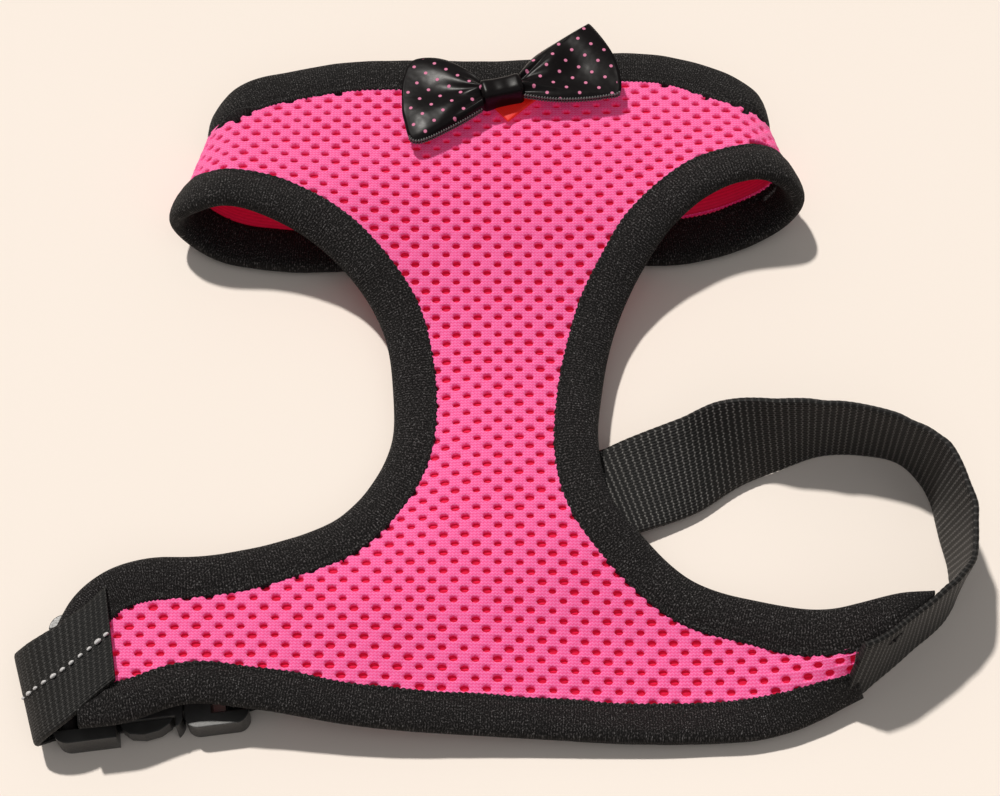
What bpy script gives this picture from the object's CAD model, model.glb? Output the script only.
"""Looks of the mesh vest harness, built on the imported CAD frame.

Every soft solid of the CAD is replaced by a detailed piece that is laid over it: the
open mesh is walked out row by row on the cloth's surface, the knit bindings and the
webbings follow the rings of their CAD strips, and the bow is shaped on its outline.
"""
import math
from collections import defaultdict

import bmesh
import bpy
import numpy as np
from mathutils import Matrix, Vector
from mathutils.bvhtree import BVHTree


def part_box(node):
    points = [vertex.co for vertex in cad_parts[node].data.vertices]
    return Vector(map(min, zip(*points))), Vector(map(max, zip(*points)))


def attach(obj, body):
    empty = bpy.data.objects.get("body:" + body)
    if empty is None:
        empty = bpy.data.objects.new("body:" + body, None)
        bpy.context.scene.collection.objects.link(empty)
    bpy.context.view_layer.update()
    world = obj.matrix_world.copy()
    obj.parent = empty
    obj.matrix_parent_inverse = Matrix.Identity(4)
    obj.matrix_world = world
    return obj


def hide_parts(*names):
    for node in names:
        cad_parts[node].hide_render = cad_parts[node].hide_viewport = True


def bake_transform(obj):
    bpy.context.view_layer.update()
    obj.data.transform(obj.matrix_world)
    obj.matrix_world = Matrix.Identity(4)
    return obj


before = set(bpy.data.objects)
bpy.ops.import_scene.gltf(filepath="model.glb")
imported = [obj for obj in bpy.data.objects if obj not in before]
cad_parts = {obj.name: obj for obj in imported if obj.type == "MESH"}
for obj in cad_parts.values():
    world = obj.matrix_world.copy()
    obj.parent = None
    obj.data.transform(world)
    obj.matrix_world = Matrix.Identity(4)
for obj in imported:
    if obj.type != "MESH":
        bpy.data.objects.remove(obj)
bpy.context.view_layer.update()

MM = 0.001
BODY = "harness"

# The two strap layers that bend as the plug is drawn out
SLACK_STRAPS = {"strap_run", "strap_return"}

RNG = np.random.default_rng(7)

# Sizes of the CAD strips, in metres
BINDING_FACE = 7.7 * MM          # flat part of a binding's face on neck and armholes
BELLY_FACE = 6.4 * MM            # the same on the belly edge
BELLY_TUCK = 3.5 * MM            # length of the belly binding that goes in under the strap
TUCK_RINGS = 2                   # rings of the CAD strip that give the tuck its direction
BINDING_THICK = 4.0 * MM         # outside thickness of a folded binding
BINDING_NOSE = 1.8 * MM          # from the fold to the flat part of the face
WEBBING_WIDTH = 20 * MM
WEBBING_THICK = 1.5 * MM
DOUBLED_THICK = 1.0 * MM
KEEPER_WIDTH = 17 * MM
KEEPER_THICK = 0.7 * MM
CLOTH_THICK = 2.2 * MM           # air mesh and lining together
CLOTH_HALF = CLOTH_THICK / 2

# The knit of the air mesh
COLUMN = 1.1 * MM                # a quarter of the distance between holes in a row
ROW = 1.0 * MM                   # half the distance between rows of holes
HOLE_ALONG = 0.96 * MM           # half length of a hole
HOLE_ACROSS = 0.66 * MM          # half height of a hole
MESH_DEPTH = 1.0 * MM            # how deep a hole goes
LINING_DEPTHS = (1.04 * MM, 2.05 * MM)
GRID_ROWS = 400                  # most rows to either side of the first one
GRID_COLUMNS = 150               # most columns to either side of the middle one
GRID_ROUNDS = 10                 # rounds of smoothing

# Steps along a piece
BINDING_STEP = 0.42 * MM
WEB_RIB = 1.35 * MM              # pitch of a webbing's ribs
END_SEAM_STEP = 0.3 * MM


# ------------------------------------------------------------------ small geometry
def unit(v):
    length = np.linalg.norm(v, axis=-1, keepdims=True)
    return v / np.maximum(length, 1e-12)


def welded(node):
    """The node's vertices, with doubles merged, and its triangles as index triples."""
    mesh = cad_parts[node].data
    mesh.calc_loop_triangles()
    raw = np.array([v.co for v in mesh.vertices])
    keys = np.round(raw / 1e-6).astype(np.int64)
    _, first, index = np.unique(keys, axis=0, return_index=True, return_inverse=True)
    index = index.reshape(-1)
    tris = np.array([[index[i] for i in t.vertices] for t in mesh.loop_triangles])
    return raw[first], tris


def make_mesh(name, verts, faces, attributes=None, smooth=True):
    mesh = bpy.data.meshes.new(name)
    mesh.from_pydata([tuple(v) for v in verts], [], [tuple(int(i) for i in f) for f in faces])
    for key, values in (attributes or {}).items():
        layer = mesh.attributes.new(key, "FLOAT_VECTOR", "POINT")
        layer.data.foreach_set("vector", np.asarray(values, dtype=float).reshape(-1))
    mesh.validate()
    mesh.polygons.foreach_set("use_smooth", [smooth] * len(mesh.polygons))
    mesh.update()
    piece = bpy.data.objects.new(name, mesh)
    bpy.context.scene.collection.objects.link(piece)
    return piece


def follow_plug(strap):
    """The strap's near end goes with the plug, and the stretch past the slider takes up the slack."""
    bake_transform(strap)


def finish_piece(piece, material, slot, *nodes):
    piece.data.materials.append(material)
    if SLACK_STRAPS.intersection(nodes):
        follow_plug(piece)
    else:
        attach(piece, BODY)
    if nodes:
        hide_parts(*nodes)
    return piece


def resample(points, spacing):
    """Even stations along a list of arrays, spaced by the first one's arc length."""
    path = points[0]
    steps = np.linalg.norm(np.diff(path, axis=0), axis=1)
    along = np.concatenate([[0], np.cumsum(steps)])
    count = max(2, int(round(along[-1] / spacing)))
    wanted = np.linspace(0, along[-1], count + 1)
    cell = np.clip(np.searchsorted(along, wanted, side="right") - 1, 0, len(path) - 2)
    f = ((wanted - along[cell]) / np.maximum(along[cell + 1] - along[cell], 1e-9))[:, None]
    out = []
    for values in points:
        before = values[np.maximum(cell - 1, 0)]
        a = values[cell]
        b = values[cell + 1]
        after = values[np.minimum(cell + 2, len(values) - 1)]
        out.append(0.5 * (2 * a + (b - before) * f + (2 * before - 5 * a + 4 * b - after) * f ** 2
                          + (3 * a - before - 3 * b + after) * f ** 3))
    return wanted, out


def smoothed(values, rounds):
    for _ in range(rounds):
        values = values.copy()
        values[1:-1] = 0.5 * values[1:-1] + 0.25 * (values[:-2] + values[2:])
    return values


def loft(rings):
    """Faces of a capped tube through rings of equal length, given as (stations, points, 3)."""
    n, m = rings.shape[:2]
    faces = []
    for i in range(n - 1):
        for k in range(m):
            faces.append((i * m + k, i * m + (k + 1) % m, (i + 1) * m + (k + 1) % m, (i + 1) * m + k))
    faces.append(tuple(range(m - 1, -1, -1)))
    faces.append(tuple((n - 1) * m + k for k in range(m)))
    return faces


def two_layers(rows, columns):
    """Faces of a sheet of rows x columns points over another like it, joined at the rim."""
    faces = []
    under = rows * columns
    for i in range(rows - 1):
        for k in range(columns - 1):
            p = i * columns + k
            quad = (p, p + 1, p + columns + 1, p + columns)
            faces.append(quad)
            faces.append(tuple(under + j for j in quad[::-1]))
    rim = [i * columns for i in range(rows)]
    rim += [(rows - 1) * columns + k for k in range(1, columns)]
    rim += [i * columns + columns - 1 for i in range(rows - 2, -1, -1)]
    rim += list(range(columns - 2, 0, -1))
    for i, p in enumerate(rim):
        q = rim[(i + 1) % len(rim)]
        faces.append((p, under + p, under + q, q))
    return faces


def fix_normals(piece):
    shape = bmesh.new()
    shape.from_mesh(piece.data)
    bmesh.ops.recalc_face_normals(shape, faces=shape.faces)
    shape.to_mesh(piece.data)
    shape.free()


def strip_mesh(name, ring, coords):
    """A capped tube from the lines that run along it, with their places in its strip."""
    rings = np.stack(ring, axis=1)
    places = np.stack(coords, axis=1)
    return make_mesh(name, rings.reshape(-1, 3), loft(rings), {"strip": places.reshape(-1, 3)})


# ------------------------------------------------- the rings of a CAD strip, in order
def strip_rings(node, long_edge, apart, tolerance=0.03 * MM):
    """Each ring of a lofted strip as two long edges: (rings, 2 faces, 2 ends, 3)."""
    verts, tris = welded(node)
    edges = {tuple(sorted((t[i], t[i - 1]))) for t in tris for i in range(3)}
    edges = np.array(sorted(edges))
    length = np.linalg.norm(verts[edges[:, 0]] - verts[edges[:, 1]], axis=1)
    spans = edges[np.abs(length - long_edge) < tolerance]
    rings = []
    used = set()
    for i, (a, b) in enumerate(spans):
        if i in used:
            continue
        best = None
        for j in range(i + 1, len(spans)):
            if j in used:
                continue
            for c, d in (spans[j], spans[j][::-1]):
                miss = (abs(np.linalg.norm(verts[a] - verts[c]) - apart)
                        + abs(np.linalg.norm(verts[b] - verts[d]) - apart))
                if best is None or miss < best[0]:
                    best = (miss, j, c, d)
        if best and best[0] < 4 * tolerance:
            used.update((i, best[1]))
            rings.append(((a, b), (best[2], best[3])))
    owner = {v: i for i, ring in enumerate(rings) for pair in ring for v in pair}
    near = defaultdict(set)
    for a, b in edges:
        i, j = owner.get(a), owner.get(b)
        if i is not None and j is not None and i != j:
            near[i].add(j)
            near[j].add(i)
    ends = [i for i in range(len(rings)) if len(near[i]) == 1]
    order = [ends[0] if ends else 0]
    while True:
        ahead = [j for j in near[order[-1]] if j not in order]
        if not ahead:
            break
        order.append(ahead[0])
    stack = np.array([[[verts[v] for v in pair] for pair in rings[i]] for i in order])
    for k in range(1, len(stack)):
        turns = [stack[k][::s, ::t] for s in (1, -1) for t in (1, -1)]
        stack[k] = min(turns, key=lambda ring: np.linalg.norm(ring - stack[k - 1])).copy()
    return stack


# --------------------------------------------------------------- the cloth's surface
def tree_of(*nodes):
    verts, faces = [], []
    for node in nodes:
        v, t = welded(node)
        faces += [tuple(int(i) + len(verts) for i in tri) for tri in t]
        verts += [Vector(p) for p in v]
    return BVHTree.FromPolygons(verts, faces)


def outer_faces(mesh_node, lining_node):
    """The triangles of a mesh panel that face away from its lining."""
    behind = tree_of(lining_node)
    verts, tris = welded(mesh_node)
    kept = []
    for tri in tris:
        a, b, c = verts[tri]
        middle = (a + b + c) / 3
        normal = np.cross(b - a, c - a)
        spot, _, _, gap = behind.find_nearest(Vector(middle))
        away = unit(middle - np.array(spot))
        if gap > 0.8 * MM and away @ unit(normal) > 0.45:
            kept.append(tuple(map(int, tri)))
    return BVHTree.FromPolygons([Vector(p) for p in verts], kept)


def walk(tree, start, normal, heading, step, count):
    """Points laid one step apart over the surface, straight on from start."""
    points = []
    here, n, ahead = Vector(start), Vector(normal), Vector(heading)
    for _ in range(count):
        ahead = (ahead - n * ahead.dot(n)).normalized()
        guess = here + ahead * step
        spot, spot_n, _, gap = tree.find_nearest(guess)
        miss = guess - spot
        beyond = (miss - spot_n * miss.dot(spot_n)).length
        if gap > 0.8 * step or beyond > 0.25 * step:
            break
        here, n = spot, spot_n
        points.append(tuple(here))
    return points


def even_line(points):
    """A function from 0..1 to the place that far along a line of points, and its length."""
    steps = np.linalg.norm(np.diff(points, axis=0), axis=1)
    along = np.concatenate([[0], np.cumsum(steps)])
    return (lambda u: np.array([np.interp(u * along[-1], along, points[:, k]) for k in range(3)]),
            along[-1])


def longest_run(mask):
    """The indices of the longest unbroken stretch of true values."""
    runs = np.split(np.arange(len(mask)), np.where(np.diff(mask.astype(int)) != 0)[0] + 1)
    return max((run for run in runs if mask[run[0]]), key=len)


def collar_edges(side):
    """The collar's neck edge and arm edge, from the shoulder seam to the middle of the back."""
    collar, chest = tree_of("collar_back_mesh"), tree_of("chest_mesh")
    lines = []
    arm = "armhole_binding_left" if side < 0 else "armhole_binding_right"
    for node in ("neck_binding", arm):
        rings = strip_rings(node, BINDING_FACE, BINDING_THICK)
        middle = rings.mean(axis=1)
        on_back = np.array([collar.find_nearest(Vector(p))[3] < chest.find_nearest(Vector(p))[3]
                            for p in middle.mean(axis=1)])
        on_side = middle.mean(axis=1)[:, 0] * side > -4 * MM
        picked = middle[longest_run(on_back & on_side)]
        gaps = [collar.find_nearest(Vector(picked[len(picked) // 2, k]))[3] for k in (0, 1)]
        edge = picked[:, int(np.argmax(gaps))] if max(gaps) > 1.5 * MM else picked[:, 1]
        far_first = abs(edge[0, 0]) > abs(edge[-1, 0])
        lines.append(edge if far_first else edge[::-1])
    return lines


def cloth_grid():
    """The outer face of the vest's cloth as a grid of rows and columns, holes as nan."""
    tree = outer_faces("chest_mesh", "chest_lining")
    back = outer_faces("collar_back_mesh", "collar_back_lining")
    start = tree.ray_cast(Vector((0, 0, 1)), Vector((0, 0, -1)))
    up = walk(tree, start[0], start[1], (0, 1, 0), ROW, GRID_ROWS)
    down = walk(tree, start[0], start[1], (0, -1, 0), ROW, GRID_ROWS)
    spine = up[::-1] + [tuple(start[0])] + down
    across = GRID_COLUMNS
    grid = np.full((len(spine), 2 * across + 1, 3), np.nan)
    grid[:, across] = spine
    for side in (-1, 1):
        neck, arm = collar_edges(side)
        neck_at, neck_long = even_line(neck)
        arm_at, arm_long = even_line(arm)
        seam = arm_at(0) - neck_at(0)
        for r, point in enumerate(spine):
            spot, n, _, _ = tree.find_nearest(Vector(point))
            row = walk(tree, spot, n, (side, 0, 0), COLUMN, across)
            end = np.array(row[-1])
            t = (end - neck_at(0)) @ seam / (seam @ seam)
            off = end - (neck_at(0) + t * seam)
            if -0.02 < t < 1.02 and np.linalg.norm(off) < 9 * MM:
                long = neck_long * (1 - t) + arm_long * t
                line = np.array([neck_at(u) * (1 - t) + arm_at(u) * t for u in np.linspace(0, 1, 90)])
                line = np.array([tuple(back.find_nearest(Vector(p))[0]) for p in line])
                keep = np.linalg.norm(line - end, axis=1) > 1.5 * COLUMN
                line = np.concatenate([[end], line[keep]])
                place, long = even_line(smoothed(line, 2))
                count = int(long / COLUMN)
                row += [tuple(place(k * COLUMN / long)) for k in range(1, count + 1)]
            for c, p in enumerate(row[:across]):
                grid[r, across + side * (c + 1)] = p
    for _ in range(GRID_ROUNDS):
        for axis in (0, 1):
            lines = np.moveaxis(grid, axis, 0)
            middle_of = 0.5 * (lines[:-2] + lines[2:])
            good = np.isfinite(middle_of[..., 0]) & np.isfinite(lines[1:-1, :, 0])
            lines[1:-1][good] += 0.5 * (middle_of[good] - lines[1:-1][good])
    return grid, across


def grid_normals(grid):
    def slope(axis):
        lines = np.moveaxis(grid, axis, 0)
        ahead = np.full_like(lines, np.nan)
        back = np.full_like(lines, np.nan)
        ahead[:-1] = lines[1:] - lines[:-1]
        back[1:] = ahead[:-1]
        both = np.where(np.isfinite(ahead), ahead, 0) + np.where(np.isfinite(back), back, 0)
        return np.moveaxis(both, 0, axis)
    return unit(np.cross(slope(1), -slope(0)))


GRID, MIDDLE = cloth_grid()
NORMALS = grid_normals(GRID)
VALID = np.isfinite(GRID[..., 0])


def grid_sheet(stride, top, bottom, name):
    """A closed sheet over the whole grid between two depths below the outer face."""
    rows, cols = GRID.shape[:2]
    numbers = {}
    verts, coords, faces = [], [], []

    def corner(r, c, depth):
        key = (r, c, depth)
        if key not in numbers:
            numbers[key] = len(verts)
            verts.append(GRID[r, c] - NORMALS[r, c] * depth)
            coords.append(((c - MIDDLE) * COLUMN, -r * ROW, depth))
        return numbers[key]

    rims = defaultdict(int)
    for r in range(0, rows - stride, stride):
        for c in range(0, cols - stride, stride):
            loop = [(r, c), (r, c + stride), (r + stride, c + stride), (r + stride, c)]
            if not all(VALID[i, j] for i, j in loop):
                continue
            faces.append([corner(i, j, top) for i, j in loop][::-1])
            faces.append([corner(i, j, bottom) for i, j in loop])
            for k in range(4):
                rims[(loop[k], loop[(k + 1) % 4])] += 1
    for (a, b) in list(rims):
        if (b, a) not in rims:
            faces.append([corner(*a, top), corner(*b, top), corner(*b, bottom), corner(*a, bottom)])
    return make_mesh(name, verts, faces, {"cloth": coords})


def open_mesh(name):
    """The air mesh itself: one brick of cloth round each hole, closed all over."""
    rows, cols = GRID.shape[:2]
    rim = [(-1, -2), (-1, -1), (-1, 0), (-1, 1), (-1, 2), (0, 2),
           (1, 2), (1, 1), (1, 0), (1, -1), (1, -2), (0, -2)]
    angles = np.array([math.atan2(dr, 0.55 * dc) for dr, dc in rim])
    depth = MESH_DEPTH
    # (size of the ring over the hole, depth below the outer face)
    inner = [(1.5, 0.02 * MM), (1.14, 0.14 * MM), (0.98, 0.42 * MM), (0.94, depth)]
    verts, coords, faces = [], [], []
    numbers = {}

    def shared(r, c, d):
        key = (r, c, d)
        if key not in numbers:
            numbers[key] = len(verts)
            verts.append(GRID[r, c] - NORMALS[r, c] * d)
            coords.append(((c - MIDDLE) * COLUMN, -r * ROW, 0))
        return numbers[key]

    rims = set()
    for r in range(1, rows - 1, 2):
        shift = 2 * ((r // 2) % 2)
        for c in range((MIDDLE + shift) % 4, cols - 2, 4):
            loop = [(r + dr, c + dc) for dr, dc in rim]
            if c < 2 or not VALID[r, c] or not all(VALID[i, j] for i, j in loop):
                continue
            u = GRID[r, c + 1] - GRID[r, c - 1]
            v = GRID[r + 1, c] - GRID[r - 1, c]
            u = u / (2 * COLUMN)
            v = v / (2 * ROW)
            n = NORMALS[r, c]
            grow = RNG.uniform(0.86, 1.12)
            drift = RNG.normal(0, 0.05 * MM, 2)
            lean = RNG.normal(0, 0.08)
            bands = [[shared(i, j, 0.0) for i, j in loop]]
            for size, d in inner:
                band = []
                for angle in angles + lean:
                    x = drift[0] + size * grow * HOLE_ALONG * math.cos(angle)
                    y = drift[1] + size * grow * HOLE_ACROSS * math.sin(angle)
                    y = max(-0.92 * ROW, min(0.92 * ROW, y))
                    band.append(len(verts))
                    verts.append(GRID[r, c] + x * u + y * v - n * d)
                    coords.append(((c - MIDDLE) * COLUMN + x, -r * ROW - y, size))
                bands.append(band)
            bands.append([shared(i, j, depth) for i, j in loop])
            for a, b in zip(bands, bands[1:]):
                for k in range(12):
                    m = (k + 1) % 12
                    faces.append((a[k], b[k], b[m], a[m]))
            for k in range(12):
                rims.add((loop[k], loop[(k + 1) % 12]))
    for a, b in list(rims):
        if (b, a) not in rims:
            faces.append([shared(*a, 0.0), shared(*b, 0.0), shared(*b, depth), shared(*a, depth)])
    return make_mesh(name, verts, faces, {"cloth": coords})


def middle_tree():
    """The cloth's middle surface, for pieces that wrap its edge."""
    rows, cols = GRID.shape[:2]
    index = -np.ones((rows, cols), dtype=int)
    index[VALID] = np.arange(VALID.sum())
    verts = (GRID - NORMALS * CLOTH_HALF)[VALID]
    faces = []
    for r in range(rows - 1):
        for c in range(cols - 1):
            quad = (index[r, c], index[r, c + 1], index[r + 1, c + 1], index[r + 1, c])
            if min(quad) >= 0:
                faces.append(tuple(int(i) for i in quad[::-1]))
    return BVHTree.FromPolygons([Vector(v) for v in verts], faces)


MIDDLE_TREE = middle_tree()


# ---------------------------------------------------------------------- materials
class Nodes:
    """Short calls for building a material's node tree."""

    def __init__(self, name):
        self.material = bpy.data.materials.new(name)
        self.material.use_nodes = True
        self.tree = self.material.node_tree
        self.shader = self.tree.nodes["Principled BSDF"]

    def add(self, kind, **values):
        node = self.tree.nodes.new(kind)
        for key, value in values.items():
            if hasattr(node, key):
                setattr(node, key, value)
        return node

    def link(self, a, b):
        self.tree.links.new(a, b)

    def put(self, socket, value):
        if hasattr(value, "default_value") or hasattr(value, "links"):
            self.link(value, socket)
        else:
            socket.default_value = value

    def attribute(self, name):
        node = self.add("ShaderNodeAttribute", attribute_name=name)
        return node.outputs["Vector"]

    def position(self):
        return self.add("ShaderNodeTexCoord").outputs["Object"]

    def split(self, vector):
        node = self.add("ShaderNodeSeparateXYZ")
        self.link(vector, node.inputs[0])
        return node.outputs

    def join(self, x, y, z):
        node = self.add("ShaderNodeCombineXYZ")
        for socket, value in zip(node.inputs, (x, y, z)):
            self.put(socket, value)
        return node.outputs[0]

    def math(self, operation, a, b=0.0, c=0.0):
        node = self.add("ShaderNodeMath", operation=operation)
        for socket, value in zip(node.inputs, (a, b, c)):
            self.put(socket, value)
        return node.outputs[0]

    def times(self, a, b):
        return self.math("MULTIPLY", a, b)

    def plus(self, a, b):
        return self.math("ADD", a, b)

    def noise(self, vector, scale, detail=2.0, rough=0.5):
        node = self.add("ShaderNodeTexNoise")
        self.link(vector, node.inputs["Vector"])
        node.inputs["Scale"].default_value = scale
        node.inputs["Detail"].default_value = detail
        node.inputs["Roughness"].default_value = rough
        return node.outputs["Fac"]

    def cells(self, vector, scale):
        node = self.add("ShaderNodeTexVoronoi")
        self.link(vector, node.inputs["Vector"])
        node.inputs["Scale"].default_value = scale
        return node.outputs

    def ramp(self, value, low, high, bottom=0.0, top=1.0):
        node = self.add("ShaderNodeMapRange", interpolation_type="SMOOTHSTEP")
        for socket, number in zip(node.inputs, (value, low, high, bottom, top)):
            self.put(socket, number)
        return node.outputs[0]

    def mix(self, factor, a, b):
        node = self.add("ShaderNodeMix", data_type="RGBA")
        self.put(node.inputs[0], factor)
        for socket, value in ((node.inputs[6], a), (node.inputs[7], b)):
            if isinstance(value, tuple):
                socket.default_value = (*value, 1.0)
            else:
                self.link(value, socket)
        return node.outputs[2]

    def bump(self, height, strength, distance, normal=None):
        node = self.add("ShaderNodeBump")
        node.inputs["Strength"].default_value = strength
        node.inputs["Distance"].default_value = distance
        self.link(height, node.inputs["Height"])
        if normal is not None:
            self.link(normal, node.inputs["Normal"])
        return node.outputs[0]

    def set(self, **values):
        for key, value in values.items():
            socket = self.shader.inputs[key.replace("_", " ")]
            if isinstance(value, tuple):
                socket.default_value = (*value, 1.0) if len(socket.default_value) == 4 else value
            else:
                self.put(socket, value)
        return self.material


def stripes(n, value, pitch):
    """A soft ridge once each pitch, from 0 to 1."""
    turns = n.times(value, 2 * math.pi / pitch)
    return n.math("MULTIPLY_ADD", n.math("SINE", turns), 0.5, 0.5)


def glow(n, colour, strength):
    """The fluorescence of a bright dye, and the light that comes through the cloth."""
    n.shader.inputs["Emission Color"].default_value = (*colour, 1.0)
    n.shader.inputs["Emission Strength"].default_value = strength


def pink_mesh_material():
    n = Nodes("pink_mesh")
    cloth = n.attribute("cloth")
    x, y, _ = n.split(cloth)
    wander = n.times(n.noise(cloth, 420, 3), 1.1 * MM)
    zig = n.math("PINGPONG", n.plus(x, wander), 0.36 * MM)
    loops = stripes(n, n.plus(y, zig), 0.66 * MM)
    wales = stripes(n, n.plus(x, wander), 0.72 * MM)
    fuzz = n.noise(cloth, 2600, 3)
    broad = n.noise(cloth, 45, 3)
    light = n.plus(n.times(loops, 0.4), n.times(wales, 0.15))
    light = n.plus(light, n.ramp(fuzz, 0.32, 0.68, 0.0, 0.5))
    pink = n.mix(n.ramp(light, 0.2, 0.95), (0.78, 0.035, 0.20), (1.0, 0.34, 0.68))
    pink = n.mix(n.ramp(broad, 0.3, 0.75, 0.0, 0.25), pink, (1.0, 0.20, 0.50))
    height = n.plus(loops, n.times(wales, 0.5))
    normal = n.bump(height, 0.5, 0.16 * MM)
    normal = n.bump(fuzz, 0.25, 0.12 * MM, normal)
    material = n.set(Base_Color=pink, Roughness=0.8, Normal=normal, Sheen_Weight=0.15,
                     Sheen_Roughness=0.5, Sheen_Tint=(1.0, 0.6, 0.8), Specular_IOR_Level=0.15)
    glow(n, (1.0, 0.02, 0.16), 0.20)
    return material


def lining_material():
    n = Nodes("crimson_lining")
    cloth = n.attribute("cloth")
    x, y, _ = n.split(cloth)
    ribs = stripes(n, y, 0.62 * MM)
    fine = stripes(n, x, 0.31 * MM)
    wear = n.noise(cloth, 900, 3)
    colour = n.mix(n.ramp(n.plus(n.times(ribs, 0.5), n.times(wear, 0.6)),
                          0.1, 0.95), (0.40, 0.003, 0.030), (0.64, 0.008, 0.062))
    normal = n.bump(n.plus(ribs, n.times(fine, 0.4)), 0.5, 0.12 * MM)
    material = n.set(Base_Color=colour, Roughness=0.72, Normal=normal, Sheen_Weight=0.1,
                     Sheen_Roughness=0.45, Sheen_Tint=(1.0, 0.2, 0.3), Specular_IOR_Level=0.15)
    glow(n, (1.0, 0.012, 0.06), 0.15)
    return material


def binding_material():
    n = Nodes("black_binding")
    strip = n.attribute("strip")
    s, w, _ = n.split(strip)
    wobble = n.times(n.noise(strip, 260, 2), 0.6 * MM)
    ribs = stripes(n, n.plus(s, wobble), 0.56 * MM)
    chain = stripes(n, w, 0.42 * MM)
    grains = n.noise(n.join(n.times(s, 1.3), w, 0.0), 2600, 2, 0.6)
    dull = n.noise(strip, 170, 3)
    grey = n.plus(n.times(ribs, 0.35), n.times(dull, 0.4))
    black = n.mix(n.ramp(grey, 0.2, 0.75), (0.0012, 0.001, 0.001), (0.010, 0.008, 0.008))
    glint = n.times(n.ramp(grains, 0.48, 0.68), n.ramp(ribs, 0.1, 0.8, 0.35, 1.0))
    glint = n.times(glint, n.ramp(dull, 0.3, 0.7, 0.5, 1.0))
    flecks = n.cells(n.join(s, n.times(w, 0.8), 0.0), 2400)
    pick = n.split(flecks["Color"])
    spark = n.times(n.ramp(flecks["Distance"], 0.34, 0.14), n.math("GREATER_THAN", pick[0], 0.72))
    colour = n.mix(glint, black, (0.13, 0.12, 0.12))
    colour = n.mix(n.times(spark, n.times(pick[1], 0.6)), colour, (0.30, 0.29, 0.29))
    normal = n.bump(n.plus(ribs, n.times(chain, 0.35)), 0.6, 0.16 * MM)
    normal = n.bump(grains, 0.7, 0.18 * MM, normal)
    return n.set(Base_Color=colour, Roughness=0.8, Normal=normal, Sheen_Weight=0.02,
                 Sheen_Roughness=0.5, Specular_IOR_Level=0.2)


def webbing_material(name, pale):
    n = Nodes(name)
    strip = n.attribute("strip")
    s, w, edge = n.split(strip)
    wave = n.times(n.math("SINE", n.times(w, 2 * math.pi / (1.2 * MM))), 0.13 * MM)
    ribs = stripes(n, n.plus(s, wave), WEB_RIB)
    strands = stripes(n, w, 0.6 * MM)
    twill = stripes(n, n.plus(s, n.times(w, 0.8)), 0.34 * MM)
    fuzz = n.noise(strip, 2400, 3)
    wear = n.noise(strip, 110, 3)
    grain = n.plus(n.times(ribs, 0.3), n.times(strands, 0.25))
    grain = n.plus(grain, n.times(fuzz, 0.4))
    grey = n.mix(n.ramp(grain, 0.35, 0.95), (0.0020, 0.0018, 0.0016), (0.022, 0.019, 0.018))
    picks = n.times(n.math("POWER", ribs, 9.0), n.ramp(strands, 0.1, 0.8, 0.25, 1.0))
    light = n.times(picks, n.ramp(wear, 0.3, 0.65, 0.3, 1.0))
    light = n.times(light, n.ramp(edge, 0.0, 0.03, 0.25, 1.0))
    colour = n.mix(light, grey, pale)
    normal = n.bump(n.plus(strands, n.times(twill, 0.5)), 0.6, 0.16 * MM)
    normal = n.bump(fuzz, 0.4, 0.1 * MM, normal)
    return n.set(Base_Color=colour, Roughness=0.55, Normal=normal, Sheen_Weight=0.02,
                 Sheen_Roughness=0.4, Specular_IOR_Level=0.3)


def thread_material(name, dark, light, gloss):
    n = Nodes(name)
    strip = n.attribute("strip")
    s, w, _ = n.split(strip)
    twist = stripes(n, n.plus(s, n.times(w, 0.12 * MM)), 0.32 * MM)
    fuzz = n.noise(n.position(), 3000, 2)
    colour = n.mix(n.ramp(n.plus(twist, fuzz), 0.4, 1.4), dark, light)
    normal = n.bump(twist, 0.6, 0.12 * MM)
    return n.set(Base_Color=colour, Roughness=gloss, Normal=normal, Sheen_Weight=0.15,
                 Sheen_Roughness=0.4)


def satin_material():
    n = Nodes("black_satin")
    strip = n.attribute("ribbon")
    x, y, edge = n.split(strip)
    pitch = 4.5 * MM
    row = n.math("DIVIDE", y, pitch * 0.5)
    line = n.math("ROUND", row)
    odd = n.times(n.math("ABSOLUTE", n.math("MODULO", line, 2.0)), 0.5)
    column = n.plus(n.math("DIVIDE", x, pitch), odd)
    dx = n.times(n.math("SUBTRACT", column, n.math("ROUND", column)), pitch)
    dy = n.times(n.math("SUBTRACT", row, line), pitch * 0.5)
    far = n.math("SQRT", n.plus(n.times(dx, dx), n.times(dy, dy)))
    dot = n.times(n.ramp(far, 0.44 * MM, 0.30 * MM), n.math("GREATER_THAN", edge, 0.5))
    floats = n.noise(n.join(n.times(x, 0.12), y, 0.0), 9000, 2)
    broad = n.noise(n.position(), 190, 2)
    black = n.mix(floats, (0.002, 0.0014, 0.0016), (0.009, 0.007, 0.0075))
    speck = n.noise(strip, 4000, 2)
    pale = n.mix(speck, (0.55, 0.13, 0.27), (0.86, 0.30, 0.46))
    colour = n.mix(dot, black, pale)
    normal = n.bump(floats, 0.12, 0.05 * MM)
    normal = n.bump(broad, 0.35, 0.6 * MM, normal)
    rough = n.plus(n.times(floats, 0.1), n.math("MULTIPLY_ADD", dot, 0.3, 0.27))
    return n.set(Base_Color=colour, Roughness=rough, Normal=normal, Specular_IOR_Level=0.13)


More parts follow.
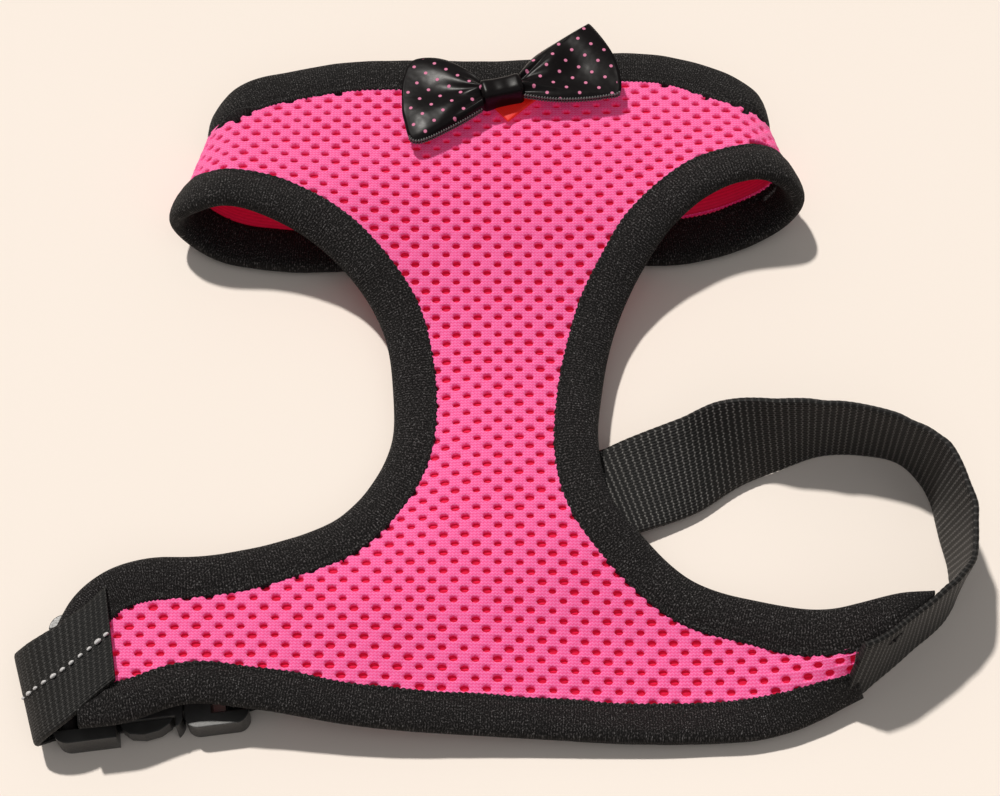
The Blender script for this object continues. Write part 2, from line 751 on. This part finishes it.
def tag_material():
    n = Nodes("red_ribbon")
    strip = n.attribute("ribbon")
    x, y, _ = n.split(strip)
    weave = n.times(stripes(n, x, 0.24 * MM), stripes(n, y, 0.3 * MM))
    soft = n.noise(strip, 700, 2)
    colour = n.mix(n.ramp(n.plus(n.times(weave, 0.6), n.times(soft, 0.5)),
                          0.1, 1.0), (0.62, 0.006, 0.004), (0.95, 0.03, 0.01))
    normal = n.bump(weave, 0.5, 0.08 * MM)
    material = n.set(Base_Color=colour, Roughness=0.5, Normal=normal, Sheen_Weight=0.1,
                     Sheen_Roughness=0.4)
    glow(n, (1.0, 0.01, 0.005), 0.16)
    return material


def plastic_material():
    n = Nodes("black_plastic")
    place = n.position()
    grain = n.noise(place, 2600, 3)
    haze = n.noise(place, 120, 3)
    scuff = n.noise(place, 420, 4, 0.7)
    colour = n.mix(n.ramp(haze, 0.3, 0.8), (0.026, 0.025, 0.024), (0.055, 0.053, 0.051))
    colour = n.mix(n.ramp(scuff, 0.6, 0.8, 0.0, 0.35), colour, (0.07, 0.07, 0.072))
    rough = n.ramp(grain, 0.2, 0.8, 0.28, 0.42)
    soft = n.add("ShaderNodeBevel", samples=6)
    soft.inputs["Radius"].default_value = 0.35 * MM
    normal = n.bump(grain, 0.12, 0.05 * MM, soft.outputs[0])
    return n.set(Base_Color=colour, Roughness=rough, Normal=normal, Specular_IOR_Level=0.5)


def steel_material():
    n = Nodes("ring_steel")
    place = n.position()
    haze = n.noise(place, 350, 4, 0.6)
    fine = n.noise(place, 5000, 2)
    colour = n.mix(haze, (0.62, 0.63, 0.65), (0.82, 0.83, 0.84))
    rough = n.ramp(haze, 0.3, 0.8, 0.14, 0.3)
    normal = n.bump(fine, 0.06, 0.03 * MM)
    return n.set(Base_Color=colour, Roughness=rough, Metallic=1.0, Normal=normal)


def floor_material():
    n = Nodes("pale_floor")
    place = n.position()
    tone = n.noise(place, 6, 3)
    colour = n.mix(tone, (0.90, 0.815, 0.745), (0.92, 0.838, 0.77))
    normal = n.bump(n.noise(place, 900, 3), 0.04, 0.1 * MM)
    return n.set(Base_Color=colour, Roughness=0.7, Normal=normal, Specular_IOR_Level=0.15)


PINK = pink_mesh_material()
LINING = lining_material()
BINDING = binding_material()
WEBBING = webbing_material("black_webbing", (0.24, 0.23, 0.22))
TAB_WEBBING = webbing_material("tab_webbing", (0.07, 0.068, 0.065))
WHITE_THREAD = thread_material("white_thread", (0.42, 0.41, 0.42), (0.86, 0.84, 0.83), 0.5)
BLACK_THREAD = thread_material("black_thread", (0.004, 0.004, 0.004), (0.03, 0.03, 0.033), 0.55)
SEAM = thread_material("seam_thread", (0.01, 0.009, 0.009), (0.10, 0.095, 0.09), 0.5)
PICOT = thread_material("picot_thread", (0.006, 0.005, 0.005), (0.26, 0.25, 0.25), 0.4)
SATIN = satin_material()
TAG = tag_material()
PLASTIC = plastic_material()
STEEL = steel_material()


# ------------------------------------------------------------------------- pieces
def build_cloth():
    vest = finish_piece(open_mesh("vest_air_mesh"), PINK, "pink_mesh", "chest_mesh",
                        "collar_back_mesh")
    lining = finish_piece(grid_sheet(2, *LINING_DEPTHS, "vest_lining"), LINING, "crimson_lining",
                          "chest_lining", "collar_back_lining")
    return vest, lining


def binding_rings(node, face):
    """Fold line and inward direction at each ring of a binding."""
    rings = strip_rings(node, face, BINDING_THICK)
    ends = rings.mean(axis=1)
    toward = unit(ends[:, 1] - ends[:, 0])
    votes = 0.0
    for end, way in zip(ends.mean(axis=1), toward):
        ahead = MIDDLE_TREE.find_nearest(Vector(end + way * face))[3]
        behind = MIDDLE_TREE.find_nearest(Vector(end - way * face))[3]
        votes += behind - ahead
    fold, side = (ends[:, 0], toward) if votes > 0 else (ends[:, 1], -toward)
    return fold - side * BINDING_NOSE, side


# Section of a binding: (place across its width, half thickness over the cloth's half)
WRAP = [(0.0, 0.0), (0.012, 0.6), (0.045, 1.15), (0.10, 1.55), (0.19, 1.88), (0.32, 2.08),
        (0.48, 2.12), (0.62, 2.02), (0.74, 1.84), (0.82, 1.60), (0.87, 1.34), (0.91, 1.42),
        (0.96, 1.46), (1.0, 1.12)]


def build_binding(node, face, taper_end=0, tuck=0):
    """taper_end is the sign along X of an end that runs out to a point, and tuck is how much
    further its end at +X goes, in under the strap."""
    fold, side = binding_rings(node, face)
    if tuck:
        end = -1 if fold[-1, 0] > fold[0, 0] else 0
        inner = -TUCK_RINGS if end else TUCK_RINGS
        tip = fold[end] + tuck * unit(fold[end] - fold[inner])
        fold = np.insert(fold, len(fold) if end else 0, tip, axis=0)
        side = np.insert(side, len(side) if end else 0, side[end], axis=0)
    width = face + BINDING_NOSE
    along, (fold, side) = resample([fold, side], BINDING_STEP)
    side = unit(side)
    narrow = np.ones(len(along))
    if taper_end:
        last = along if fold[0, 0] * taper_end > fold[-1, 0] * taper_end else along[-1] - along
        narrow = np.clip(0.15 + last / (11 * MM), 0.15, 1.0)
    # where the cloth's middle lies, across the width of the binding
    marks = np.array([0.42, 0.6, 0.8, 1.0])
    rows = []
    for mark in marks:
        spots = []
        for f, d in zip(fold, side):
            guess = Vector(f + d * width * mark)
            spot, _, _, gap = MIDDLE_TREE.find_nearest(guess)
            spots.append(np.array(spot) if gap < 2.6 * MM else np.array(guess))
        rows.append(smoothed(np.array(spots), 30))
    fold = smoothed(fold, 10)
    lines = np.stack([fold] + rows, axis=1)
    places = np.concatenate([[0.0], marks])

    def at(q):
        k = min(np.searchsorted(places, q, side="right") - 1, len(places) - 2)
        t = (q - places[k]) / (places[k + 1] - places[k])
        spot = lines[:, k] * (1 - t) + lines[:, k + 1] * t
        return fold + (spot - fold) * narrow[:, None]

    middle = np.stack([at(q) for q, _ in WRAP], axis=1)
    ahead = np.gradient(middle, axis=0)
    across = np.gradient(middle, axis=1)
    normal = unit(np.cross(ahead, across))
    normal[:, 0] = normal[:, 1]
    scallop = 0.16 * MM * np.sin(2 * np.pi * along / (1.25 * MM)) + 0.10 * MM * np.sin(along / (2.9 * MM))
    puff = 1 + 0.035 * np.sin(along / (3.1 * MM)) + 0.03 * np.sin(along / (1.3 * MM) + 1.0)
    n, m = middle.shape[:2]
    ring = []
    coords = []
    top = list(range(m))
    bottom = list(range(m - 1, 0, -1))
    for sign, order in ((1, top), (-1, bottom)):
        for k in order:
            q, t = WRAP[k]
            push = unit(across[:, k]) * (scallop * max(0.0, (q - 0.9) / 0.1))[:, None]
            lift = normal[:, k] * (t * MM * puff)[:, None]
            ring.append(middle[:, k] + push + sign * lift)
            coords.append(np.stack([along, np.full(n, q * width + (0.02 if sign < 0 else 0)),
                                    np.full(n, q)], axis=1))
    piece = strip_mesh(node + "_knit", ring, coords)
    return finish_piece(piece, BINDING, "black_binding", node)


# Section of a webbing: (place across, half thickness) from one selvage to the other
WEB_ACROSS = [0.0, 0.012, 0.04, 0.09, 0.18, 0.3, 0.42, 0.5, 0.58, 0.7, 0.82, 0.91, 0.96, 0.988, 1.0]
WEB_HEIGHT = [0.25, 0.7, 0.95, 1.0, 1.0, 1.0, 1.0, 1.0, 1.0, 1.0, 1.0, 1.0, 0.95, 0.7, 0.25]


def ribbon_frames(node, width, thick, spacing):
    rings = strip_rings(node, width, thick)
    low = rings[:, :, 0].mean(axis=1)
    high = rings[:, :, 1].mean(axis=1)
    middle = 0.5 * (low + high)
    along, (middle, side) = resample([middle, high - low], spacing)
    return along, middle, unit(side)


def build_webbing(node, width, thick, material):
    along, middle, side = ribbon_frames(node, width, thick, WEB_RIB / 5)
    normal = unit(np.cross(np.gradient(middle, axis=0), side))
    normal = unit(smoothed(normal, 6))
    ribs = np.abs(np.sin(np.pi * along / WEB_RIB))
    ring, coords = [], []
    for sign in (1, -1):
        order = range(len(WEB_ACROSS)) if sign > 0 else range(len(WEB_ACROSS) - 1, -1, -1)
        for k in order:
            q = WEB_ACROSS[k]
            edge = min(q, 1 - q)
            half = 0.5 * thick * WEB_HEIGHT[k]
            depth = 0.10 * MM * min(1.0, edge / 0.04)
            bead = 0.06 * MM * (1 - min(1.0, edge / 0.03))
            lift = half - depth * (1 - ribs ** 0.7)
            out = (q - 0.5) * width + np.sign(q - 0.5) * bead * (ribs - 1)
            ring.append(middle + side * out[:, None] + sign * normal * lift[:, None])
            coords.append(np.stack([along, np.full(len(along), q * width),
                                    np.full(len(along), edge)], axis=1))
    piece = strip_mesh(node + "_woven", ring, coords)
    return finish_piece(piece, material, "black_webbing", node)


# ------------------------------------------------------------------------- thread
def islands(node):
    """The separate solids of a node, each as its vertices."""
    verts, tris = welded(node)
    parent = list(range(len(verts)))

    def root(i):
        while parent[i] != i:
            parent[i] = parent[parent[i]]
            i = parent[i]
        return i

    for a, b, c in tris:
        parent[root(int(a))] = root(int(b))
        parent[root(int(b))] = root(int(c))
    groups = defaultdict(list)
    for i in range(len(verts)):
        groups[root(i)].append(verts[i])
    return [np.array(g) for g in groups.values()]


def long_axis(points):
    middle = points.mean(axis=0)
    _, _, ways = np.linalg.svd(points - middle)
    reach = (points - middle) @ ways[0]
    return middle + ways[0] * reach.min(), middle + ways[0] * reach.max()


def stitch(verts, faces, coords, a, b, up, radius, arch):
    """One stitch of thread from a to b, arched a little off the cloth."""
    first = len(verts)
    steps, around = 9, 8
    way = unit(b - a)
    side = unit(np.cross(up, way))
    lift = np.cross(way, side)
    for i in range(steps):
        t = i / (steps - 1)
        swell = math.sin(math.pi * (0.08 + 0.84 * t)) ** 0.45
        middle = a + (b - a) * t + lift * (arch * math.sin(math.pi * t))
        for k in range(around):
            turn = 2 * math.pi * k / around
            verts.append(middle + radius * swell * (side * math.cos(turn) + lift * math.sin(turn)))
            coords.append((t * np.linalg.norm(b - a), turn, 0))
    for i in range(steps - 1):
        for k in range(around):
            m = (k + 1) % around
            p = first + i * around
            faces.append((p + k, p + m, p + around + m, p + around + k))
    faces.append([first + k for k in range(around - 1, -1, -1)])
    faces.append([first + (steps - 1) * around + k for k in range(around)])


def build_dashes(node):
    verts, faces, coords = [], [], []
    for points in islands(node):
        a, b = long_axis(points)
        up = np.array([-0.35, 0.1, 1.0])
        size = RNG.uniform(0.85, 1.25)
        middle = 0.5 * (a + b)
        half = 0.5 * (b - a) * size
        stitch(verts, faces, coords, middle - half, middle + half, up, 0.34 * MM * size, 0.12 * MM)
    piece = make_mesh(node + "_dashes", verts, faces, {"strip": coords})
    return finish_piece(piece, WHITE_THREAD, "white_thread", node)


def thread_rows(name, rows, material, *replaced, spacing=1.15 * MM, radius=0.19 * MM, arch=0.14 * MM):
    """Rows of black stitches, each a list of places, as one piece."""
    verts, faces, coords = [], [], []
    up = np.array([0.0, 0.0, 1.0])
    for row in rows:
        _, (line,) = resample([np.array(row)], spacing)
        for p, q in zip(line, line[1:]):
            step = q - p
            stitch(verts, faces, coords, p + 0.1 * step, p + 0.9 * step, up, radius, arch)
    piece = make_mesh(name, verts, faces, {"strip": coords})
    return finish_piece(piece, material, "black_thread", *replaced)


def build_seam(node):
    """Stitch rows that follow the CAD's."""
    rows = [long_axis(points) for points in islands(node)]
    return thread_rows(node + "_stitches", rows, BLACK_THREAD, node)


def build_end_seam(node, webbing, distances, from_low_x):
    """Stitch rows across a webbing's upper face, at distances from one of its ends."""
    along, middle, side = ribbon_frames(webbing, WEBBING_WIDTH, WEBBING_THICK, END_SEAM_STEP)
    if (middle[0, 0] > middle[-1, 0]) == from_low_x:
        middle, side = middle[::-1], side[::-1]
    rows = []
    for distance in distances:
        k = int(distance / END_SEAM_STEP)
        normal = unit(np.cross(middle[k + 1] - middle[k - 1], side[k]))
        normal = normal * np.sign(normal[2])
        half = 0.5 * WEBBING_WIDTH - 1.2 * MM
        lift = normal * (0.5 * WEBBING_THICK + 0.05 * MM)
        rows.append([middle[k] + side[k] * x + lift for x in (-half, 0, half)])
    return thread_rows(node + "_stitches", rows, SEAM, node)


# ---------------------------------------------------------------------------- bow
def outline(node):
    """The plan outline of a prism node, in order round its middle, and its two heights."""
    verts, _ = welded(node)
    top = verts[verts[:, 2] > verts[:, 2].max() - 0.1 * MM]
    middle = top.mean(axis=0)
    order = np.argsort(np.arctan2(top[:, 1] - middle[1], top[:, 0] - middle[0]))
    return top[order], verts[:, 2].min(), verts[:, 2].max()


def build_wing(node, knot, dimple, tilt):
    """One wing of the bow. It returns the two selvages of its lower rim."""
    points, low, high = outline(node)
    # start the outline at the gap that faces the knot
    spans = [0.5 * (points[i - 1] + points[i]) for i in range(len(points))]
    first = int(np.argmin([np.linalg.norm(s[:2] - knot[:2]) for s in spans]))
    points = np.roll(points, -first, axis=0)
    _, (rim,) = resample([points], 0.35 * MM)
    rim = smoothed(rim, 2)
    m = len(rim)
    a = np.linspace(0, 1, m)
    inner = rim[0] * (1 - a[:, None]) + rim[-1] * a[:, None]
    steps = 34
    middle_z = 0.5 * (low + high)
    tops, bottoms, places = [], [], []
    toward = unit(rim[m // 2] - knot)[:2]
    sideways = np.array([-toward[1], toward[0]])
    for i in range(steps):
        r = i / (steps - 1)
        line = inner * (1 - r) + rim * r
        grow = 1 - (1 - r) ** 2
        arch = np.sin(np.pi * a) ** 0.7
        half = (high - low) * 0.5 * (0.3 + 0.7 * arch * (1 - r ** 5))
        pleat = 0.9 * MM * np.cos(2 * np.pi * (2.1 * a + 0.15)) * math.exp(-2.6 * r) * arch
        crease = 0.9 * MM * np.exp(-((a - 0.44) / (0.035 + 0.11 * r)) ** 2) * math.sin(math.pi * r) ** 0.7
        ridge = 0.7 * MM * np.exp(-((a - 0.62) / (0.03 + 0.10 * r)) ** 2) * math.sin(math.pi * r)
        dent = crease - ridge + dimple * np.exp(-((a - 0.60) / 0.12) ** 2 - ((r - 0.62) / 0.16) ** 2)
        wave = 0.3 * MM * np.sin(2 * np.pi * (1.5 * a + 0.4 * r)) * grow
        z = middle_z + tilt * (r - 0.5) + wave
        top = np.column_stack([line[:, 0], line[:, 1], z + half + pleat - dent])
        bottom = np.column_stack([line[:, 0], line[:, 1], z - half + 0.3 * pleat])
        tops.append(top)
        bottoms.append(bottom)
        flat = line[:, :2] - knot[:2]
        edge = np.minimum(np.minimum(a, 1 - a) * 14, (1 - r) * 12)
        places.append(np.column_stack([flat @ toward, flat @ sideways, edge]))
    tops, bottoms, places = np.array(tops), np.array(bottoms), np.array(places)
    verts = np.concatenate([tops.reshape(-1, 3), bottoms.reshape(-1, 3)])
    coords = np.concatenate([places.reshape(-1, 3), places.reshape(-1, 3) * (1, 1, 0)])
    piece = make_mesh(node + "_ribbon", verts, two_layers(steps, m), {"ribbon": coords})
    fix_normals(piece)
    finish_piece(piece, SATIN, "black_satin", node)
    corner = int(np.argmax(np.abs(rim[:, 0] - knot[0]) - 0.5 * rim[:, 1]))
    lower = slice(2, corner + 1) if rim[0, 1] < rim[-1, 1] else slice(corner, m - 2)
    return [tops[-1, lower], bottoms[-1, lower]]


def build_picots(name, edges):
    """The little loops of thread along the ribbon's selvages."""
    return thread_rows(name, edges, PICOT, spacing=0.62 * MM, radius=0.3 * MM, arch=0.1 * MM)


def build_knot(node):
    low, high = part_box(node)
    verts, _ = welded(node)
    middle = 0.5 * (np.array(low) + np.array(high))
    flat = verts[:, :2] - middle[:2]
    _, _, ways = np.linalg.svd(flat)
    along = ways[0] * np.sign(ways[0][0])
    half_long = 4.6 * MM
    half_wide = 2.9 * MM
    half_high = 0.5 * (high[2] - low[2])
    across = np.array([-along[1], along[0]])
    rings, coords = [], []
    stations, around = 23, 56
    turns = np.linspace(0, 2 * np.pi, around, endpoint=False)
    for t in np.linspace(-1, 1, stations):
        pinch = (1 - 0.10 * (1 - t * t)) * (1 - max(0.0, abs(t) - 0.86) * 1.1)
        x = t * half_long
        pleat = 1 + 0.012 * np.cos(3 * np.pi * t)
        cosine, sine = np.cos(turns), np.sin(turns)
        y = half_wide * pinch * np.sign(cosine) * np.abs(cosine) ** 0.55
        z = half_high * pinch * pleat * np.sign(sine) * np.abs(sine) ** 0.6
        plan = middle[:2] + along * x + np.outer(y, across)
        rings.append(np.column_stack([plan, middle[2] + z]))
        coords.append(np.column_stack([np.full(around, x), y, np.zeros(around)]))
    rings = np.array(rings)
    piece = make_mesh(node + "_wrap", rings.reshape(-1, 3), loft(rings),
                      {"ribbon": np.array(coords).reshape(-1, 3)})
    fix_normals(piece)
    return finish_piece(piece, SATIN, "black_satin", node)


TAG_LIFT = 0.9 * MM


def build_tag(node):
    verts, _ = welded(node)
    low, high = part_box(node)
    base = verts[verts[:, 2] < low[2] + 0.1 * MM]
    middle = base.mean(axis=0)
    corner = base[0]
    others = sorted(base[1:], key=lambda p: np.linalg.norm(p - corner))
    short, long = others[0] - corner, others[1] - corner
    size_s, size_l = np.linalg.norm(short), np.linalg.norm(long)
    short, long = short / size_s, long / size_l
    nx, ny = 26, 14
    layers = []
    for sign in (1, -1):
        plane = []
        for i in range(nx):
            for k in range(ny):
                u, v = i / (nx - 1) * 2 - 1, k / (ny - 1) * 2 - 1
                rim = (1 - abs(u) ** 8) * (1 - abs(v) ** 8)
                half = 0.5 * (high[2] - low[2]) * (0.35 + 0.65 * rim)
                bend = 0.18 * MM * math.sin(2.2 * u + 0.7) * (1 + 0.4 * v)
                spot = middle + long * (u * size_l / 2) + short * (v * size_s / 2)
                z = 0.5 * (low[2] + high[2]) + TAG_LIFT + bend + sign * half
                plane.append((spot[0], spot[1], z, u * size_l / 2, v * size_s / 2))
        layers.append(np.array(plane))
    both = np.concatenate(layers)
    coords = np.column_stack([both[:, 3], both[:, 4], np.zeros(len(both))])
    piece = make_mesh(node + "_tape", both[:, :3], two_layers(nx, ny), {"ribbon": coords})
    fix_normals(piece)
    return finish_piece(piece, TAG, "red_ribbon", node)


# -------------------------------------------------------------------------- build
vest, lining = build_cloth()
hems = [
    build_binding("neck_binding", BINDING_FACE),
    build_binding("armhole_binding_left", BINDING_FACE),
    build_binding("armhole_binding_right", BINDING_FACE, taper_end=1),
    build_binding("belly_binding", BELLY_FACE, tuck=BELLY_TUCK),
]

build_webbing("tab_webbing", WEBBING_WIDTH, WEBBING_THICK, TAB_WEBBING)
build_webbing("girth_strap", WEBBING_WIDTH, WEBBING_THICK, WEBBING)
build_webbing("strap_run", WEBBING_WIDTH, DOUBLED_THICK, WEBBING)
build_webbing("strap_return", WEBBING_WIDTH, DOUBLED_THICK, WEBBING)
build_webbing("ring_keeper", KEEPER_WIDTH, KEEPER_THICK, WEBBING)

build_dashes("tab_thread")
build_end_seam("tab_stitching", "tab_webbing", (1.4 * MM, 3.2 * MM), from_low_x=False)
build_seam("strap_stitching")
build_seam("bow_tack")

knot_low, knot_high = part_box("bow_knot")
knot_middle = 0.5 * (np.array(knot_low) + np.array(knot_high))
selvages = build_wing("bow_wing_left", knot_middle, dimple=0.3 * MM, tilt=-0.4 * MM)
selvages += build_wing("bow_wing_right", knot_middle, dimple=0.9 * MM, tilt=0.3 * MM)
build_picots("bow_picots", selvages)
build_knot("bow_knot")
build_tag("red_tag")

hardware = {name: PLASTIC for name in ("buckle_socket", "buckle_plug", "buckle_prong_back",
                                       "buckle_prong_front", "strap_slider")}
hardware["leash_ring"] = STEEL
for name, material in hardware.items():
    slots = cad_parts[name].data.materials
    slots.clear()
    slots.append(material)

# -------------------------------------------------------------------------- stage
floor = make_mesh("floor", [(-3, -3, 0), (3, -3, 0), (3, 3, 0), (-3, 3, 0)], [(0, 1, 2, 3)])
floor.data.materials.append(floor_material())


def add_light(name, kind, energy, position, target, **values):
    light = bpy.data.lights.new(name, kind)
    light.energy = energy
    for key, value in values.items():
        setattr(light, key, value)
    lamp = bpy.data.objects.new(name, light)
    lamp.location = position
    lamp.rotation_euler = (Vector(target) - Vector(position)).to_track_quat("-Z", "Y").to_euler()
    bpy.context.scene.collection.objects.link(lamp)


def point_at(target, azimuth, elevation, distance):
    """A point seen from the target at an azimuth from -Y, turning to +X, and a height."""
    a, e = math.radians(azimuth), math.radians(elevation)
    way = np.array([math.sin(a) * math.cos(e), -math.cos(a) * math.cos(e), math.sin(e)])
    return tuple(np.array(target) + distance * way)


CENTRE = (0.4 * MM, -2.0 * MM, 0.0)
CAMERA_ELEVATION = 62
CAMERA_DISTANCE = 0.462
SENSOR_WIDTH = 36                # millimetres
HALF_VIEW = math.radians(13)     # half of the camera's angle of view
WORLD_STRENGTH = 0.19
add_light("key_sun", "SUN", 3.03, point_at(CENTRE, 212, 58, 2.0), CENTRE, angle=math.radians(3),
          color=(1.0, 0.965, 0.91))
add_light("fill", "AREA", 1.5, point_at(CENTRE, 20, 60, 1.2), CENTRE, size=1.2, color=(0.95, 0.97, 1.0))

world = bpy.data.worlds.new("studio")
world.use_nodes = True
world.node_tree.nodes["Background"].inputs["Color"].default_value = (1.0, 0.985, 0.96, 1.0)
world.node_tree.nodes["Background"].inputs["Strength"].default_value = WORLD_STRENGTH
bpy.context.scene.world = world

camera_data = bpy.data.cameras.new("camera")
camera_data.sensor_width = SENSOR_WIDTH
camera_data.lens = SENSOR_WIDTH / 2 / math.tan(HALF_VIEW)
camera_data.clip_start = 0.01
camera = bpy.data.objects.new("camera", camera_data)
camera.location = point_at(CENTRE, 0, CAMERA_ELEVATION, CAMERA_DISTANCE)
camera.rotation_euler = (Vector(CENTRE) - Vector(camera.location)).to_track_quat("-Z", "Y").to_euler()
bpy.context.scene.collection.objects.link(camera)
bpy.context.scene.camera = camera
bpy.context.scene.view_settings.view_transform = "Standard"
